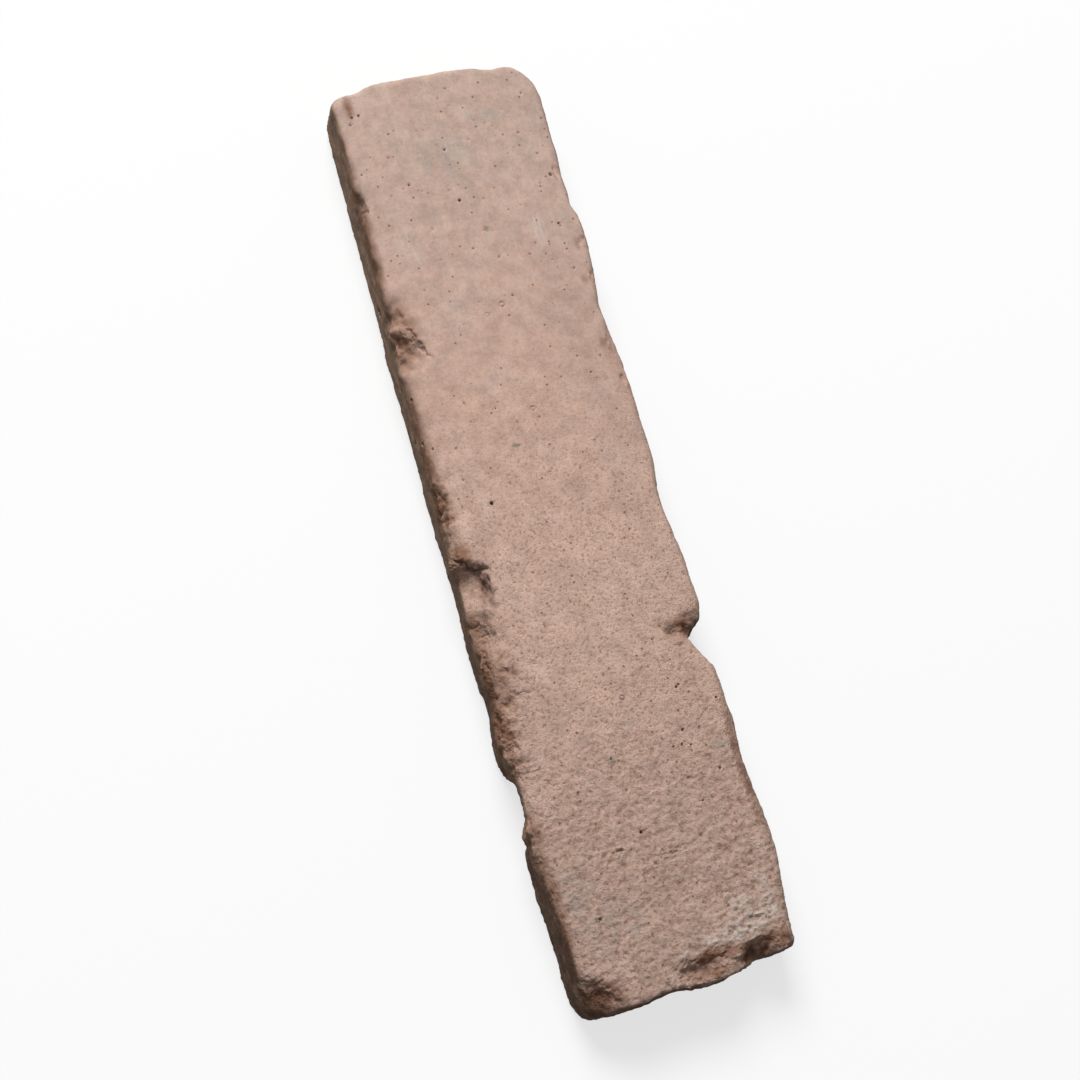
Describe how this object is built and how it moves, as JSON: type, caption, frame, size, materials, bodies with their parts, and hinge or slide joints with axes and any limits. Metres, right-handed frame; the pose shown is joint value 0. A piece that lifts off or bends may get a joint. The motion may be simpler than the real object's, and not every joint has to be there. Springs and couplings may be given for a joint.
{
  "type": "wall cladding tile",
  "caption": "Thin cast concrete cladding tile with the worn, chipped face of an old hand-made brick and a flat back for bedding on a wall.",
  "frame": {"origin": "middle of the flat bedding face on the back", "axes": "+X along the course towards the end with the sharper arris, +Y up the wall, +Z out of the wall through the front face"},
  "size_m": [0.2255, 0.0532, 0.015],
  "materials": {
    "cast_concrete": "matt cast face, pinkish beige pigment, pinholes and broken edges"
  },
  "bodies": {
    "root": {"cladding_tile": "cast_concrete"}
  },
  "joints": []
}
